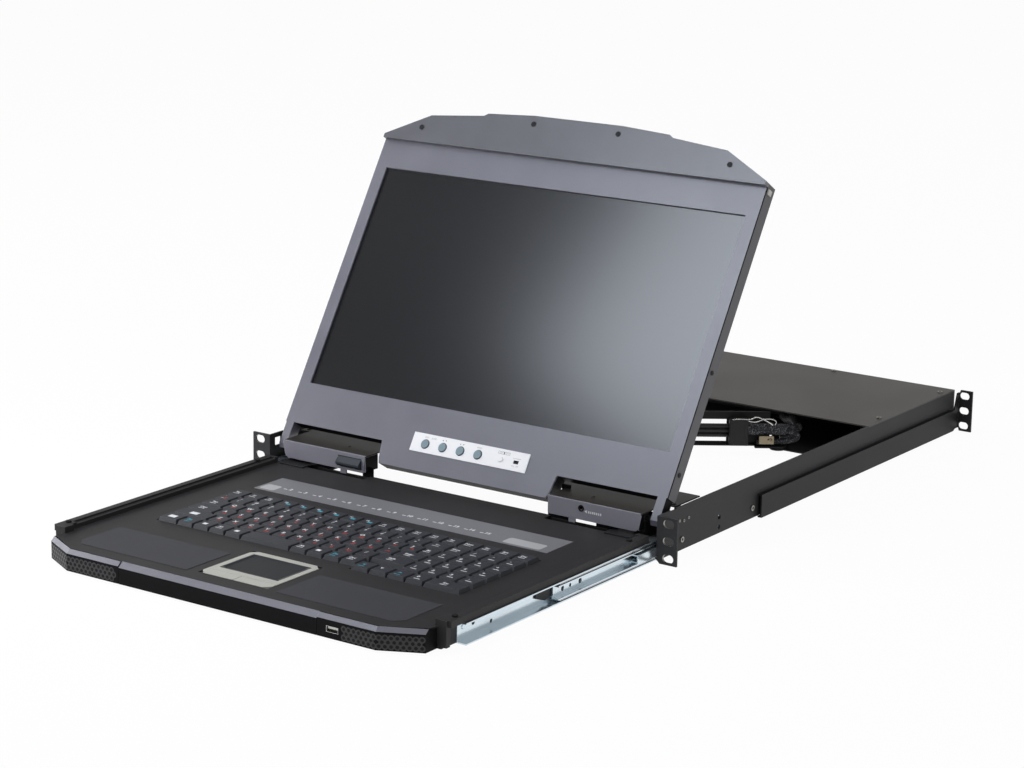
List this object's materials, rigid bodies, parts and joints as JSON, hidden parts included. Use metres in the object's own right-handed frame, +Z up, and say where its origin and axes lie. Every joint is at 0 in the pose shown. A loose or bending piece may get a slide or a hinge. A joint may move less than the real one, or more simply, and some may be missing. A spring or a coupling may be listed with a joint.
{
  "type": "rack console drawer",
  "caption": "One-unit rack drawer pulled out, with a keyboard and touchpad tray, a tipped-up flat display, ball slides, a folding cable arm and a rear housing.",
  "frame": {"origin": "on the middle plane, at the front face of the front rack ears and the bottom of the rack unit", "axes": "+X to the right as seen from the front, +Y back into the rack, +Z up"},
  "size_m": [0.4826, 0.9229, 0.3488],
  "materials": {
    "steel_black": "fine black powder coat",
    "steel_zinc": "zinc plated",
    "steel_lid": "dark satin paint",
    "plastic_black": "fine texture",
    "plastic_deck": "smooth satin",
    "plastic_gloss": "smooth",
    "plastic_key": "fine texture",
    "bezel_lilac": "satin, grey with a purple cast",
    "plastic_silver": "satin silver grey",
    "label_grey": "printed silver film",
    "label_white": "printed white film",
    "rubber": "smooth",
    "rubber_clear": "milky",
    "screen": "anti-glare",
    "board": "circuit board",
    "steel_bright": "bright",
    "sleeve": "braided sleeve over cables",
    "alu_frame": "back shell"
  },
  "bodies": {
    "chassis": {"side_panel_left": "steel_black", "side_panel_right": "steel_black", "rear_box_base": "steel_black", "rear_box_cover": "steel_lid", "switch_board": "board", "power_supply": "steel_bright", "rear_connectors": "plastic_black", "chassis_screws": "steel_bright", "slide_cabinet_left": "steel_zinc", "slide_cabinet_right": "steel_zinc"},
    "rocker": {"power_switch": "plastic_gloss"},
    "bracket_left": {"rear_bracket_left": "steel_black"},
    "bracket_right": {"rear_bracket_right": "steel_black"},
    "slide_middle_pair": {"slide_middles": "steel_zinc"},
    "balls_outer": {"ball_rows_outer": "steel_bright"},
    "balls_inner": {"ball_rows_inner": "steel_bright"},
    "drawer": {"tray_base": "steel_black", "tray_top": "plastic_deck", "front_bezel": "plastic_gloss", "bezel_corners": "plastic_black", "palm_rests": "plastic_black", "touchpad_frame": "plastic_silver", "touchpad_surface": "plastic_black", "keyboard_frame": "plastic_black", "label_strip": "label_grey", "usb_port": "steel_bright", "hinge_covers": "bezel_lilac", "rear_top_plate": "steel_lid", "hinges": "steel_bright", "tray_bumpers": "rubber", "tray_board": "board", "cable_arm_mount": "steel_black", "slide_drawer_left": "steel_zinc", "slide_drawer_right": "steel_zinc"},
    "levers": {"slide_levers": "plastic_black"},
    "latch": {"release_latch": "plastic_gloss"},
    "pad_button_left": {"touchpad_button_left": "plastic_silver"},
    "pad_button_right": {"touchpad_button_right": "plastic_silver"},
    "row_bottom": {"keys_bottom": "plastic_key"},
    "row_space": {"space_bar": "plastic_key"},
    "row_shift": {"keys_shift": "plastic_key"},
    "row_home": {"keys_home": "plastic_key"},
    "row_upper": {"keys_upper": "plastic_key"},
    "row_number": {"keys_number": "plastic_key"},
    "row_function": {"keys_function": "plastic_key"},
    "display": {"lcd_bezel": "bezel_lilac", "lcd_rear_cover": "alu_frame", "lcd_panel": "screen", "lcd_cap": "bezel_lilac", "lcd_screws": "plastic_gloss", "lcd_bumpers": "rubber_clear", "osd_plate": "label_white", "control_board": "board"},
    "display_buttons": {"osd_buttons": "plastic_gloss"},
    "display_power": {"lcd_power_button": "label_white"},
    "arm_front": {"cable_arm_front": "steel_black", "arm_cable_front": "sleeve"},
    "arm_rear": {"cable_arm_rear": "steel_black", "arm_cable_rear": "sleeve"}
  },
  "joints": [
    {"name": "drawer_slide", "type": "slide", "parent": "chassis", "child": "drawer", "axis": [0, 1, 0], "range_m": [0, 0.29]},
    {"name": "slide_middle_travel", "type": "slide", "parent": "chassis", "child": "slide_middle_pair", "axis": [0, 1, 0], "range_m": [0, 0.1451]},
    {"name": "balls_outer_travel", "type": "slide", "parent": "chassis", "child": "balls_outer", "axis": [0, 1, 0], "range_m": [0, 0.2176]},
    {"name": "balls_inner_travel", "type": "slide", "parent": "chassis", "child": "balls_inner", "axis": [0, 1, 0], "range_m": [0, 0.0726]},
    {"name": "arm_front_swing", "type": "hinge", "parent": "drawer", "child": "arm_front", "pos_m": [-0.1516, 0.1873, 0.007], "axis": [0, 0, 1], "range_deg": [-35.8, 0]},
    {"name": "arm_rear_swing", "type": "hinge", "parent": "chassis", "child": "arm_rear", "pos_m": [0.065, 0.5, 0.0046], "axis": [0, 0, 1], "range_deg": [0, 54.3]},
    {"name": "display_hinge", "type": "hinge", "parent": "drawer", "child": "display", "pos_m": [0, 0.0156, 0.034], "axis": [1, 0, 0], "range_deg": [0, 121.4]},
    {"name": "bracket_left_adjust", "type": "slide", "parent": "chassis", "child": "bracket_left", "axis": [0, 1, 0], "range_m": [0, 0.12]},
    {"name": "bracket_right_adjust", "type": "slide", "parent": "chassis", "child": "bracket_right", "axis": [0, 1, 0], "range_m": [0, 0.12]},
    {"name": "rocker_tilt", "type": "hinge", "parent": "chassis", "child": "rocker", "pos_m": [-0.1527, 0.57735, 0.021], "axis": [1, 0, 0], "range_deg": [0, 6]},
    {"name": "lever_tilt", "type": "hinge", "parent": "drawer", "child": "levers", "pos_m": [0, -0.155, 0.0108], "axis": [1, 0, 0], "range_deg": [0, 6], "stiffness_Nm_per_rad": 0.05, "springref_deg": -11.46},
    {"name": "latch_press", "type": "slide", "parent": "drawer", "child": "latch", "axis": [0, 1, 0], "range_m": [0, 0.002], "stiffness_N_per_m": 800, "springref_m": -0.001},
    {"name": "pad_left_press", "type": "slide", "parent": "drawer", "child": "pad_button_left", "axis": [0, 0, -1], "range_m": [0, 0.0005], "stiffness_N_per_m": 1000, "springref_m": -0.001},
    {"name": "pad_right_press", "type": "slide", "parent": "drawer", "child": "pad_button_right", "axis": [0, 0, -1], "range_m": [0, 0.0005], "stiffness_N_per_m": 1000, "springref_m": -0.001},
    {"name": "keys_bottom_press", "type": "slide", "parent": "drawer", "child": "row_bottom", "axis": [0, 0, -1], "range_m": [0, 0.002], "stiffness_N_per_m": 300, "springref_m": -0.004},
    {"name": "keys_space_press", "type": "slide", "parent": "drawer", "child": "row_space", "axis": [0, 0, -1], "range_m": [0, 0.002], "stiffness_N_per_m": 300, "springref_m": -0.004},
    {"name": "keys_shift_press", "type": "slide", "parent": "drawer", "child": "row_shift", "axis": [0, 0, -1], "range_m": [0, 0.002], "stiffness_N_per_m": 300, "springref_m": -0.004},
    {"name": "keys_home_press", "type": "slide", "parent": "drawer", "child": "row_home", "axis": [0, 0, -1], "range_m": [0, 0.002], "stiffness_N_per_m": 300, "springref_m": -0.004},
    {"name": "keys_upper_press", "type": "slide", "parent": "drawer", "child": "row_upper", "axis": [0, 0, -1], "range_m": [0, 0.002], "stiffness_N_per_m": 300, "springref_m": -0.004},
    {"name": "keys_number_press", "type": "slide", "parent": "drawer", "child": "row_number", "axis": [0, 0, -1], "range_m": [0, 0.002], "stiffness_N_per_m": 300, "springref_m": -0.004},
    {"name": "keys_function_press", "type": "slide", "parent": "drawer", "child": "row_function", "axis": [0, 0, -1], "range_m": [0, 0.002], "stiffness_N_per_m": 300, "springref_m": -0.004},
    {"name": "osd_press", "type": "slide", "parent": "display", "child": "display_buttons", "axis": [0, 0.8536, -0.5209], "range_m": [0, 0.0008], "stiffness_N_per_m": 800, "springref_m": -0.001},
    {"name": "display_power_press", "type": "slide", "parent": "display", "child": "display_power", "axis": [0, 0.8536, -0.5209], "range_m": [0, 0.0008], "stiffness_N_per_m": 800, "springref_m": -0.001}
  ],
  "couplings": [
    {"joint": "slide_middle_travel", "follows": "drawer_slide", "ratio": 0.5},
    {"joint": "balls_outer_travel", "follows": "drawer_slide", "ratio": 0.75},
    {"joint": "balls_inner_travel", "follows": "drawer_slide", "ratio": 0.25},
    {"joint": "arm_front_swing", "follows": "drawer_slide", "rad_per_m": -2.15},
    {"joint": "arm_rear_swing", "follows": "drawer_slide", "rad_per_m": 3.26}
  ]
}
